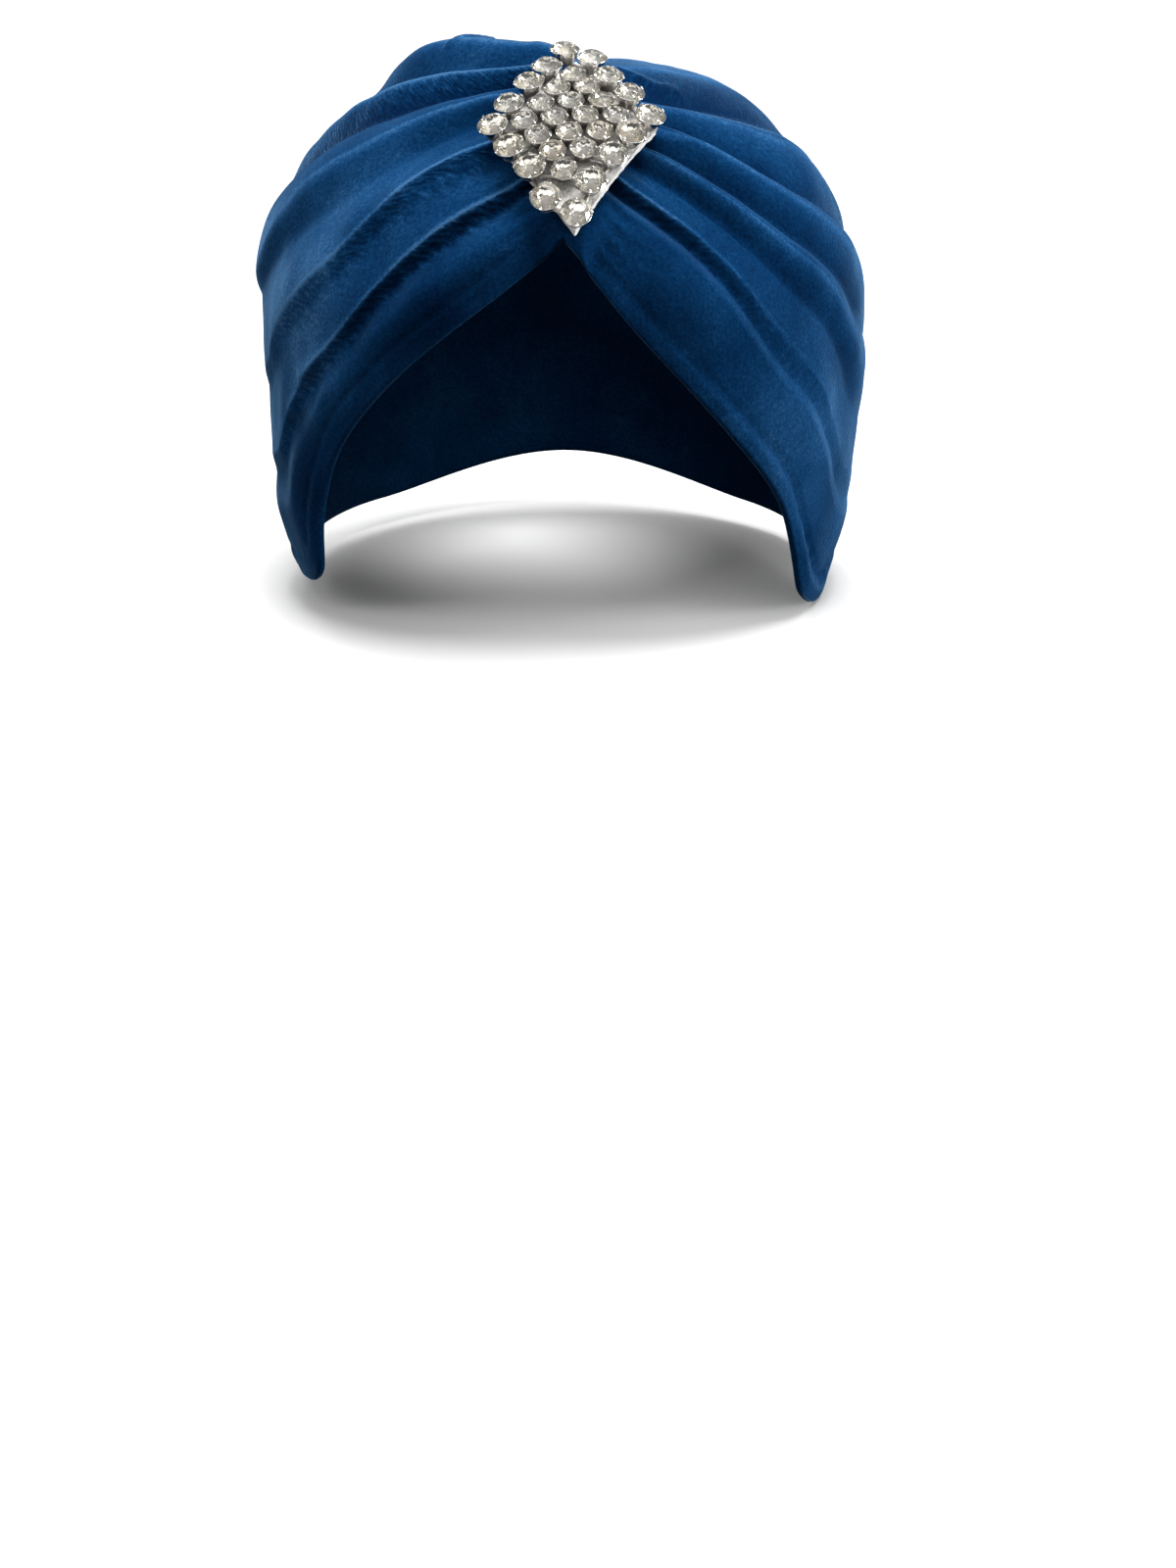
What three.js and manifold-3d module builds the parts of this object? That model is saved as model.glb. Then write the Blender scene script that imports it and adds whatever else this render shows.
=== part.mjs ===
// A wide velvet headband, gathered at the forehead under a diamond-shaped brooch of cut stones.
// Millimetres, +Z up, the brooch faces -Y. The origin is the middle of the opening at its widest level.
import * as THREE from "three";
import { ConvexGeometry } from "three/addons/geometries/ConvexGeometry.js";
import { mergeVertices } from "three/addons/utils/BufferGeometryUtils.js";
import Module from "manifold-3d";

const wasm = await Module();
wasm.setup();

// Round form that the cloth follows: half sizes across, front to back, and above and below the origin
const FORM = { across: 78.5, deep: 95, above: 60.5, below: 200 };
// The band runs round an axis that leans back by this angle
const BAND_TILT = 20;

// Doubled velvet, and the share of each fold's height that also shows on the inside
const CLOTH = 2.2;
const FOLD_INSIDE = 0.8;
const HEM_ROUND = 0.8;

// Edges of the band in degrees above the tilted middle, by degrees turned from the front
const EDGES = [
  { turn: 0, lowLeft: -7, lowRight: -7, topLeft: 48.5, topRight: 48.5 },
  { turn: 12, lowLeft: -15.5, lowRight: -20, topLeft: 50, topRight: 50 },
  { turn: 30, lowLeft: -25.3, lowRight: -32.5, topLeft: 58, topRight: 57 },
  { turn: 50, lowLeft: -35.5, lowRight: -42.3, topLeft: 63, topRight: 61 },
  { turn: 64, lowLeft: -44, lowRight: -49.5, topLeft: 63, topRight: 61 },
  { turn: 73, lowLeft: -49.5, lowRight: -52.3, topLeft: 63, topRight: 61 },
  { turn: 88, lowLeft: -48, lowRight: -51, topLeft: 60, topRight: 59 },
  { turn: 105, lowLeft: -42, lowRight: -44, topLeft: 57, topRight: 57 },
  { turn: 145, lowLeft: -25, lowRight: -25.5, topLeft: 50, topRight: 50 },
  { turn: 180, lowLeft: -14, lowRight: -14, topLeft: 47, topRight: 47 },
];

// Pleats from the lower hem up. foot: where the fold starts, as a share of the band's width, at the
// front, temple and side. base: mm that its foot lies off the round form, and rise: its height in mm,
// at the same places. crest: where it is highest, as a share of the fold, at the front and side.
// crease: 1 is sharp, 2 is soft.
const LEFT_PLEATS = [
  { foot: [0, 0, 0], base: [0, 0, 0], rise: [3, 1.8, 3], crest: [0.6, 0.6], crease: 1.6 },
  { foot: [0.18, 0.105, 0.135], base: [0, 0, 0.6], rise: [3.5, 4, 2], crest: [0.32, 0.3], crease: 1.1 },
  { foot: [0.35, 0.22, 0.265], base: [0, 0, 0], rise: [4, 4.5, 2], crest: [0.42, 0.3], crease: 1.1 },
  { foot: [0.48, 0.365, 0.405], base: [0, 0, 0], rise: [3.5, 3.5, 3.4], crest: [0.55, 0.25], crease: 1.3 },
  { foot: [0.61, 0.57, 0.59], base: [0, 0, -0.8], rise: [4, 4, 2.4], crest: [0.66, 0.5], crease: 1 },
  { foot: [0.73, 0.725, 0.8], base: [1, -0.4, 0], rise: [4.8, 7.6, 1.4], crest: [0.5, 0.4], crease: 1.3 },
];
const RIGHT_PLEATS = [
  { foot: [0, 0, 0], base: [0, 0, 0], rise: [3, 1.6, 1.4], crest: [0.85, 0.8], crease: 1.5 },
  { foot: [0.25, 0.145, 0.12], base: [0, 0, 0.6], rise: [3.5, 3, 2.4], crest: [0.42, 0.35], crease: 1.1 },
  { foot: [0.355, 0.265, 0.235], base: [0, 0, 0.8], rise: [3, 3, 2.4], crest: [0.6, 0.45], crease: 1.4 },
  { foot: [0.42, 0.352, 0.355], base: [0, 0, 0], rise: [4, 4, 3.4], crest: [0.55, 0.18], crease: 1 },
  { foot: [0.515, 0.465, 0.53], base: [0, -1.6, -3.4], rise: [3.8, 3.2, 1.8], crest: [0.55, 0.5], crease: 1 },
  { foot: [0.6, 0.625, 0.7], base: [-1, -1.6, -3], rise: [2.4, 2.4, 1.6], crest: [0.45, 0.4], crease: 1 },
];
// Turns in degrees over which the columns above change, and over which the folds die out behind
const FRONT_TO_TEMPLE = [8, 42];
const TEMPLE_TO_SIDE = [42, 82];
const CREST_TO_SIDE = [30, 80];
const SIDES_MEET = [-8, 8];
const BACK_MEETS = [150, 180];
const FOLDS_FADE = [90, 150];
const FOLDS_LEFT_BEHIND = 0.15;

// Mesh of the band: steps round it, how much closer they lie in front, and rows to each fold
const BAND_STEPS = 62;
const FRONT_CLOSER = 0.4;
const OUTER_ROWS = 4;
const INNER_ROWS = 2;

// Brooch: place of the backing's underside, the way it faces, and the bends that lay it on the cloth
const BROOCH = { x: 1.6, y: -72.5, z: 42.7, facing: 55, bendLong: 94, bendWide: 88 };
// Diamond: half of the angle at its tip, and how much its right-hand side climbs
const DIAMOND = { halfAngle: 32, skew: 0.14 };
const BACKING = { thick: 1.8, margin: 1.1, right: 1.2, turn: -0.5, steps: 8 };
const SEAT_GAP = 0.3;
// The brooch flattens the folds fully up to the first share of its size, and not at all past the second
const PRESS_EDGE = [1.15, 1.5];

// Stones: radius, spacing, number to a side, heights of the crown and of the pointed back, and the
// degrees by which their rows are turned on the brooch
const OUTER_STONES = {
  name: "outer", radius: 3.2, pitch: 8.25, side: 5, crown: 1.3, pavilion: 2.7, turn: 0.7,
};
const INNER_STONES = {
  name: "inner", radius: 2.5, pitch: 6.2, side: 4, crown: 1.1, pavilion: 2.2, turn: -2.5,
};
// Stones set out of line by hand: row, column, and mm across and along the brooch
const OUT_OF_LINE = [
  { kind: "outer", row: 4, column: 4, across: -0.7, along: 0 },
  { kind: "outer", row: 4, column: 3, across: 0.9, along: 1.8 },
  { kind: "outer", row: 4, column: 0, across: 0, along: -0.9 },
  { kind: "outer", row: 3, column: 4, across: -0.4, along: -1.0 },
  { kind: "outer", row: 2, column: 0, across: 0.2, along: 0.9 },
  { kind: "outer", row: 1, column: 0, across: -0.2, along: 0.9 },
  { kind: "outer", row: 0, column: 4, across: 0.8, along: 1.0 },
  { kind: "outer", row: 0, column: 1, across: -1.1, along: -2.0 },
  { kind: "outer", row: 0, column: 0, across: 0.9, along: 0.4 },
  { kind: "inner", row: 0, column: 0, across: -0.7, along: -0.4 },
];
const TABLE_SHARE = 0.58;
const TABLE_SIDES = 8;
const STONE_SPIN = 17;

// Cups that hold the stones: seat, wall and foot, and the claws that lean in over the girdle.
// halfWidth is the angle from a claw's point to the rim on each side of it.
const CUP = { floor: 0.55, wall: 0.22, fit: 0.28, bevel: 0.1, foot: 0.75 };
const CLAW = { count: 4, halfWidth: 11, above: 0.6, lean: 0.75 };
// Bars between the cups: how high they lie above the cups' feet, and how far they reach in under them
const LINK = { wide: 1.3, thick: 0.5, raise: 0.25, reach: 0.8 };

// Corners closer together than this are one
const MERGE_WITHIN = 1e-4;

const radians = THREE.MathUtils.degToRad;
const mix = THREE.MathUtils.lerp;
const smooth = (x, range) => THREE.MathUtils.smoothstep(x, range[0], range[1]);

// Cubic curve through one column of the edge table, level behind
function edgeLift(turn, column) {
  const at = Math.abs(turn);
  const last = EDGES.length - 1;
  const slope = (i) => {
    if (i === last) return 0;
    const before = EDGES[Math.max(i - 1, 0)];
    const after = EDGES[i + 1];
    return (after[column] - before[column]) / (after.turn - before.turn);
  };
  let i = 0;
  while (i < last - 1 && EDGES[i + 1].turn <= at) i += 1;
  const from = EDGES[i];
  const to = EDGES[i + 1];
  const span = to.turn - from.turn;
  const t = (at - from.turn) / span;
  const u = 1 - t;
  const ends = (1 + 2 * t) * u * u * from[column] + t * t * (3 - 2 * t) * to[column];
  const tangents = t * u * u * span * slope(i) - t * t * u * span * slope(i + 1);
  return ends + tangents;
}

// How much of the right-hand pleats shows at a turn: none on the left, a half where the sides meet
function rightShare(turn) {
  const front = smooth(turn, SIDES_MEET);
  const behind = smooth(Math.abs(turn), BACK_MEETS) / 2;
  return turn < 0 ? front + behind : front - behind;
}

// One pleat as it is at a turn
function pleatAt(turn, index) {
  const at = Math.abs(turn);
  const toTemple = smooth(at, FRONT_TO_TEMPLE);
  const toSide = smooth(at, TEMPLE_TO_SIDE);
  const fade = 1 - (1 - FOLDS_LEFT_BEHIND) * smooth(at, FOLDS_FADE);
  const right = rightShare(turn);
  const along = ([front, temple, side]) => front + (temple - front) * toTemple + (side - temple) * toSide;
  const crest = ([front, side]) => mix(front, side, smooth(at, CREST_TO_SIDE));
  const left = LEFT_PLEATS[index];
  const other = RIGHT_PLEATS[index];
  return {
    foot: mix(along(left.foot), along(other.foot), right),
    base: mix(along(left.base), along(other.base), right) * fade,
    rise: mix(along(left.rise), along(other.rise), right) * fade,
    crest: mix(crest(left.crest), crest(other.crest), right),
    crease: mix(left.crease, other.crease, right),
  };
}

// Point of the round form and the way out from it, at a turn and lift about the tilted axis
function formPoint(turn, lift) {
  const tilt = radians(BAND_TILT);
  const level = Math.cos(radians(lift));
  const forward = level * Math.cos(radians(turn));
  const up = Math.sin(radians(lift));
  const way = new THREE.Vector3(
    level * Math.sin(radians(turn)),
    up * Math.sin(tilt) - forward * Math.cos(tilt),
    forward * Math.sin(tilt) + up * Math.cos(tilt),
  );
  const half = new THREE.Vector3(FORM.across, FORM.deep, way.z > 0 ? FORM.above : FORM.below);
  const point = way.clone().divideScalar(way.clone().divide(half).length());
  const out = point.clone().divide(half).divide(half).normalize();
  return { point, out };
}

// Middle of the arc that the backing's underside follows from front to crown
function broochCentre() {
  const facing = radians(BROOCH.facing);
  return new THREE.Vector3(
    BROOCH.x,
    BROOCH.y + BROOCH.bendLong * Math.cos(facing),
    BROOCH.z - BROOCH.bendLong * Math.sin(facing),
  );
}

// Place and axes on the brooch: across and along from its middle, and height above the backing's underside
function broochFrame(across, along, height) {
  const facing = radians(BROOCH.facing) + along / BROOCH.bendLong;
  const lean = across / BROOCH.bendWide;
  const ahead = new THREE.Vector3(0, -Math.cos(facing), Math.sin(facing));
  const side = new THREE.Vector3(1, 0, 0);
  const out = ahead.clone().multiplyScalar(Math.cos(lean)).addScaledVector(side, Math.sin(lean));
  const right = side.clone().multiplyScalar(Math.cos(lean)).addScaledVector(ahead, -Math.sin(lean));
  const point = broochCentre()
    .addScaledVector(ahead, BROOCH.bendLong - BROOCH.bendWide * (1 - Math.cos(lean)))
    .addScaledVector(side, BROOCH.bendWide * Math.sin(lean))
    .addScaledVector(out, height);
  return { point, right, up: out.clone().cross(right), out };
}

// Position in the diamond, counted in steps along its two slanting sides from the middle
function diamondPoint(stepsRight, stepsLeft, pitch, turn) {
  const half = radians(DIAMOND.halfAngle);
  const across = (stepsRight - stepsLeft) * pitch * Math.sin(half);
  const along = (stepsRight + stepsLeft) * pitch * Math.cos(half) + across * DIAMOND.skew;
  const angle = radians(turn);
  return {
    across: across * Math.cos(angle) - along * Math.sin(angle),
    along: across * Math.sin(angle) + along * Math.cos(angle),
  };
}

// Side of the backing's diamond
const RING_SIDE = OUTER_STONES.pitch * (OUTER_STONES.side - 1);
const BACKING_SIDE = RING_SIDE + 2 * BACKING.margin / Math.sin(radians(2 * DIAMOND.halfAngle));

// Height that a fold may have under the brooch, which presses the gathers flat. The share is 1 at the
// edge of the backing.
function pressedHeight(height, point) {
  const from = point.clone().sub(broochCentre());
  const across = from.x - BACKING.right;
  const climb = (Math.atan2(from.z, -from.y) - radians(BROOCH.facing)) * BROOCH.bendLong;
  const along = climb - across * DIAMOND.skew;
  const half = radians(DIAMOND.halfAngle);
  const share = Math.abs(across) / (BACKING_SIDE * Math.sin(half))
    + Math.abs(along) / (BACKING_SIDE * Math.cos(half));
  if (share > PRESS_EDGE[1]) return height;
  const bend = BROOCH.bendWide - Math.sqrt(BROOCH.bendWide ** 2 - from.x ** 2);
  const room = BROOCH.bendLong - bend - Math.hypot(from.y, from.z) - SEAT_GAP;
  return mix(Math.min(height, room), height, smooth(share, PRESS_EDGE));
}

// One column of the band's section: rows up the outside or the inside, as points
function bandColumn(turn, rows, inside) {
  const sideName = turn < 0 ? "Left" : "Right";
  const low = edgeLift(turn, `low${sideName}`);
  const top = edgeLift(turn, `top${sideName}`);
  const place = (share, height) => {
    const { point, out } = formPoint(turn, mix(low, top, share));
    const pressed = pressedHeight(height, point);
    return point.addScaledVector(out, inside ? pressed * FOLD_INSIDE - CLOTH : pressed);
  };
  const column = [];
  const pleats = LEFT_PLEATS.map((_, index) => pleatAt(turn, index));
  const topEdge = { foot: 1, base: pleats.at(-1).base };
  pleats.forEach((pleat, index) => {
    const next = pleats[index + 1] ?? topEdge;
    for (let row = 0; row < rows; row += 1) {
      const step = (2 * row) / rows;
      const climb = step <= 1 ? step : 2 - step;
      const share = step <= 1 ? pleat.crest * climb : 1 - (1 - pleat.crest) * climb;
      const height = pleat.rise * Math.sin(climb * Math.PI / 2) ** pleat.crease;
      column.push(place(mix(pleat.foot, next.foot, share), mix(pleat.base, next.base, share) + height));
    }
  });
  column.push(place(topEdge.foot, topEdge.base));
  return column;
}

// Round point of a hem, half way through the cloth and a little past its edge
function hemPoint(outer, inner, previous) {
  const past = outer.clone().sub(previous).normalize().multiplyScalar(HEM_ROUND);
  return outer.clone().add(inner).multiplyScalar(0.5).add(past);
}

// Closed mesh from columns of points, joined round and round
function ringGeometry(columns) {
  const rows = columns[0].length;
  const index = [];
  columns.forEach((_, column) => {
    const next = (column + 1) % columns.length;
    for (let row = 0; row < rows; row += 1) {
      const above = (row + 1) % rows;
      const a = column * rows + row;
      const b = next * rows + row;
      const c = next * rows + above;
      const d = column * rows + above;
      index.push(a, b, c, a, c, d);
    }
  });
  const geometry = new THREE.BufferGeometry().setFromPoints(columns.flat());
  geometry.setIndex(index);
  return geometry;
}

function velvetBand() {
  const columns = [];
  for (let step = 0; step < BAND_STEPS; step += 1) {
    const share = (2 * step) / BAND_STEPS - 1;
    const turn = 180 * (share - FRONT_CLOSER * Math.sin(Math.PI * share) / Math.PI);
    const outside = bandColumn(turn, OUTER_ROWS, false);
    const within = bandColumn(turn, INNER_ROWS, true);
    const topHem = hemPoint(outside.at(-1), within.at(-1), outside.at(-2));
    const lowHem = hemPoint(outside[0], within[0], outside[1]);
    columns.push([...outside, topHem, ...within.reverse(), lowHem]);
  }
  return ringGeometry(columns);
}

// Bent diamond pad, shifted a little to the right of the stones
function broochBacking() {
  const { steps, thick, right, turn } = BACKING;
  const pitch = BACKING_SIDE / steps;
  const plate = new THREE.BoxGeometry(1, 1, 1, steps, steps, 1);
  const corners = plate.getAttribute("position");
  for (let i = 0; i < corners.count; i += 1) {
    const x = corners.getX(i) * steps;
    const y = corners.getY(i) * steps;
    const { across, along } = diamondPoint(x, y, pitch, turn);
    const height = (corners.getZ(i) + 0.5) * thick;
    const { point } = broochFrame(across + right, along, height);
    corners.setXYZ(i, point.x, point.y, point.z);
  }
  return bareGeometry(plate);
}

// Geometry with its shared corners merged and nothing but positions
function bareGeometry(geometry) {
  const bare = geometry.clone();
  bare.deleteAttribute("normal");
  bare.deleteAttribute("uv");
  return mergeVertices(bare, MERGE_WITHIN);
}

// Solid for joining
function solidOf(geometry) {
  const merged = bareGeometry(geometry);
  const vertProperties = new Float32Array(merged.getAttribute("position").array);
  const triVerts = new Uint32Array(merged.getIndex().array);
  return new wasm.Manifold(new wasm.Mesh({ numProp: 3, vertProperties, triVerts }));
}

function geometryOf(solid) {
  const { vertProperties, triVerts } = solid.getMesh();
  const geometry = new THREE.BufferGeometry();
  geometry.setAttribute("position", new THREE.BufferAttribute(vertProperties, 3));
  geometry.setIndex(new THREE.BufferAttribute(triVerts, 1));
  return geometry;
}

// Heights above the backing's underside of a stone's lowest point and girdle
const SETTING_BASE = BACKING.thick + SEAT_GAP;
const culetHeight = () => SETTING_BASE + CUP.floor + CUP.fit;
const girdleHeight = (kind) => culetHeight() + kind.pavilion;

// Round cut stone: flat table, three crown facets to each of its sides, and a pointed back
function stoneGeometry(kind) {
  const points = [new THREE.Vector3(0, 0, -kind.pavilion)];
  for (let i = 0; i < TABLE_SIDES; i += 1) {
    const turn = (2 * Math.PI * i) / TABLE_SIDES;
    const table = kind.radius * TABLE_SHARE;
    points.push(new THREE.Vector3(table * Math.cos(turn), table * Math.sin(turn), kind.crown));
  }
  for (let i = 0; i < 2 * TABLE_SIDES; i += 1) {
    const turn = (Math.PI * i) / TABLE_SIDES;
    points.push(new THREE.Vector3(kind.radius * Math.cos(turn), kind.radius * Math.sin(turn), 0));
  }
  return bareGeometry(new ConvexGeometry(points));
}

// Places of one kind of stone, the whole field or only its border, with those out of line moved
function stonePlaces(kind, borderOnly) {
  const last = kind.side - 1;
  const places = [];
  for (let row = last; row >= 0; row -= 1) {
    for (let column = last; column >= 0; column -= 1) {
      const border = row === 0 || row === last || column === 0 || column === last;
      if (borderOnly && !border) continue;
      const even = diamondPoint(row - last / 2, column - last / 2, kind.pitch, kind.turn);
      const atPlace = (one) => one.kind === kind.name && one.row === row && one.column === column;
      const moved = OUT_OF_LINE.find(atPlace);
      const { across, along } = moved ?? { across: 0, along: 0 };
      places.push({ row, column, across: even.across + across, along: even.along + along });
    }
  }
  return places;
}

// Matrix that stands a piece on the brooch at a place and height
function standing(place, height, spin = 0) {
  const { point, right, up, out } = broochFrame(place.across, place.along, height);
  const turned = new THREE.Matrix4().makeRotationZ(radians(spin));
  return new THREE.Matrix4().makeBasis(right, up, out).setPosition(point).multiply(turned);
}

// Closed mesh between two points on the axis, through rings that hold one point for each angle
function turnedGeometry(start, rings, end) {
  const count = rings[0].length;
  const points = [start, ...rings.flat(), end];
  const index = [];
  for (let i = 0; i < count; i += 1) {
    const next = (i + 1) % count;
    index.push(0, 1 + next, 1 + i);
    for (let ring = 0; ring < rings.length - 1; ring += 1) {
      const low = 1 + ring * count;
      const high = low + count;
      index.push(low + i, low + next, high + next, low + i, high + next, high + i);
    }
    const last = points.length - 1;
    index.push(last - count + i, last - count + next, last);
  }
  const geometry = new THREE.BufferGeometry().setFromPoints(points);
  geometry.setIndex(index);
  return geometry;
}

// Cup with a seat that follows the stone's back, and pointed claws that lean in over its girdle
function cupSolid(kind) {
  const girdle = girdleHeight(kind) - SETTING_BASE;
  const inner = kind.radius + CUP.fit;
  const lip = inner - CUP.bevel;
  const lipHeight = mix(CUP.floor, girdle, lip / inner);
  const rings = { foot: [], rim: [], lip: [] };
  const span = 360 / CLAW.count;
  for (let claw = 0; claw < CLAW.count; claw += 1) {
    for (const offset of [-CLAW.halfWidth, 0, CLAW.halfWidth, span / 2]) {
      const turn = radians(span * (claw + 0.5) + offset);
      const tip = offset === 0 ? 1 : 0;
      const ringPoint = (radius, height) =>
        new THREE.Vector3(radius * Math.cos(turn), radius * Math.sin(turn), height);
      rings.foot.push(ringPoint(kind.radius * CUP.foot, 0));
      rings.rim.push(ringPoint(inner + CUP.wall - tip * CLAW.lean, girdle + tip * CLAW.above));
      rings.lip.push(ringPoint(lip, lipHeight));
    }
  }
  const under = new THREE.Vector3(0, 0, 0);
  const seat = new THREE.Vector3(0, 0, CUP.floor);
  return solidOf(turnedGeometry(under, [rings.foot, rings.rim, rings.lip], seat));
}

// Flat bar between two neighbouring cups, let into the foot of each
function linkSolid(from, to) {
  const height = SETTING_BASE + LINK.raise + LINK.thick / 2;
  const start = broochFrame(from.across, from.along, height);
  const end = broochFrame(to.across, to.along, height);
  const run = end.point.clone().sub(start.point);
  const along = run.clone().normalize();
  const across = start.out.clone().add(end.out).cross(along).normalize();
  const middle = start.point.clone().addScaledVector(run, 0.5);
  const underCups = 2 * LINK.reach * INNER_STONES.radius * CUP.foot;
  const bar = new THREE.BoxGeometry(run.length() - underCups, LINK.wide, LINK.thick);
  const frame = new THREE.Matrix4().makeBasis(along, across, along.clone().cross(across));
  return solidOf(bar.applyMatrix4(frame.setPosition(middle)));
}

// Pairs of places that lie one step apart, in a row or, unless only rows are linked, in a column
function neighbours(places, rowsOnly) {
  const pairs = [];
  places.forEach((from, index) => {
    places.slice(index + 1).forEach((to) => {
      const rows = Math.abs(from.row - to.row);
      const columns = Math.abs(from.column - to.column);
      if (rows + columns === 1 && !(rowsOnly && rows === 1)) pairs.push([from, to]);
    });
  });
  return pairs;
}

// The end of each row of the inner field, with the nearest cup of the ring
function rowEndLinks(ring, field) {
  const ends = field.filter((place) => place.column === 0);
  const distance = (a, b) => Math.hypot(a.across - b.across, a.along - b.along);
  return ends.map((end) => {
    const closer = (best, place) => (distance(place, end) < distance(best, end) ? place : best);
    return [end, ring.reduce(closer)];
  });
}

const ringPlaces = stonePlaces(OUTER_STONES, true);
const fieldPlaces = stonePlaces(INNER_STONES, false);

function clawSetting() {
  const pairs = [
    ...neighbours(ringPlaces, false),
    ...neighbours(fieldPlaces, true),
    ...rowEndLinks(ringPlaces, fieldPlaces),
  ];
  const pieces = pairs.map(([from, to]) => linkSolid(from, to));
  for (const [kind, places] of [[OUTER_STONES, ringPlaces], [INNER_STONES, fieldPlaces]]) {
    const cup = cupSolid(kind);
    for (const place of places) pieces.push(cup.transform(standing(place, SETTING_BASE).toArray()));
  }
  return geometryOf(pieces.reduce((joined, piece) => joined.add(piece)));
}

const velvet = new THREE.MeshStandardMaterial({ color: 0x0d3a72, roughness: 0.9, metalness: 0 });
const felt = new THREE.MeshStandardMaterial({ color: 0xe2e1dc, roughness: 0.85, metalness: 0 });
const silver = new THREE.MeshStandardMaterial({ color: 0xb9bcc2, roughness: 0.25, metalness: 1 });
const glass = new THREE.MeshStandardMaterial({ color: 0xe9edf2, roughness: 0.05, metalness: 0.1 });

function namedMesh(name, geometry, material) {
  const mesh = new THREE.Mesh(geometry, material.clone());
  mesh.name = name;
  return mesh;
}

function stones(kind, places) {
  const geometry = stoneGeometry(kind);
  return places.map((place, index) => {
    const number = String(index + 1).padStart(2, "0");
    const stone = namedMesh(`stone_${kind.name}_${number}`, geometry, glass);
    const matrix = standing(place, girdleHeight(kind), STONE_SPIN * index);
    matrix.decompose(stone.position, stone.quaternion, stone.scale);
    return stone;
  });
}

const brooch = new THREE.Group();
brooch.add(namedMesh("brooch_backing", broochBacking(), felt));
brooch.add(namedMesh("claw_setting", clawSetting(), silver));
brooch.add(...stones(OUTER_STONES, ringPlaces));
brooch.add(...stones(INNER_STONES, fieldPlaces));

const headband = new THREE.Group();
headband.add(namedMesh("velvet_band", velvetBand(), velvet));
headband.add(brooch);

export default headband;
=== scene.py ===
"""Wide blue velvet headband with a diamond-shaped brooch of cut stones, in a plain studio.

Shapes are worked out in millimetres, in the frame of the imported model, and made in metres.
"""
import math

import bmesh
import bpy
import numpy as np
from mathutils import Matrix, Vector

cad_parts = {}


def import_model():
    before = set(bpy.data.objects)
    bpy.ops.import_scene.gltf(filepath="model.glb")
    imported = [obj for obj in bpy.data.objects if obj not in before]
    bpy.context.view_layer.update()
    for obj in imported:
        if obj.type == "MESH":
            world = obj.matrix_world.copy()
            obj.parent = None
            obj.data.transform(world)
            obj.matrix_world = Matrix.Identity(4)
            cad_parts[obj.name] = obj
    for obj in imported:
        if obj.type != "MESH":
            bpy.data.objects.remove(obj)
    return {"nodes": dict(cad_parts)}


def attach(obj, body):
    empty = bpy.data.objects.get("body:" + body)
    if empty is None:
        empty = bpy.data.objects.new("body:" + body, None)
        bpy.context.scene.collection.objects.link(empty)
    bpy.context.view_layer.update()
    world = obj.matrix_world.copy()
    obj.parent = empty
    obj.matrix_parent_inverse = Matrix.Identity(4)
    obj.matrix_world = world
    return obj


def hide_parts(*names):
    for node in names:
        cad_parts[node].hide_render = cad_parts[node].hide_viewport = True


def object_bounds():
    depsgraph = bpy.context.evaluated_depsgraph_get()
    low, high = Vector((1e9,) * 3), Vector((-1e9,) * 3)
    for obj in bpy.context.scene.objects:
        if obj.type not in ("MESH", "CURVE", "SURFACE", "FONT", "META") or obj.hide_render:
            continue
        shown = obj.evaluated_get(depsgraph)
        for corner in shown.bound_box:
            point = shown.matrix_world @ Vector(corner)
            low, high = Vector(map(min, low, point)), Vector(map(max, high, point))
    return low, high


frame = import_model()
cad_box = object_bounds()

MM = 0.001
PHOTO_HEIGHT_PX = 1600

# The band's form in mm and degrees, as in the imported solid

# Half sizes of the round form, how far the band tips back, the cloth's thickness, and the share of the
# folds' height that shows inside
FORM = {"across": 78.5, "deep": 95, "above": 60.5, "below": 200}
BAND_TILT = 20
CLOTH = 2.2
FOLD_INSIDE = 0.8

# Edges in degrees above the tilted middle: turn from the front, lower edge left and right, and top edge
# left and right
EDGES = np.array([
    (0, -7, -7, 48.5, 48.5),
    (12, -15.5, -20, 50, 50),
    (30, -25.3, -32.5, 58, 57),
    (50, -35.5, -42.3, 63, 61),
    (64, -44, -49.5, 63, 61),
    (73, -49.5, -52.3, 63, 61),
    (88, -48, -51, 60, 59),
    (105, -42, -44, 57, 57),
    (145, -25, -25.5, 50, 50),
    (180, -14, -14, 47, 47),
], float)

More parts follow.
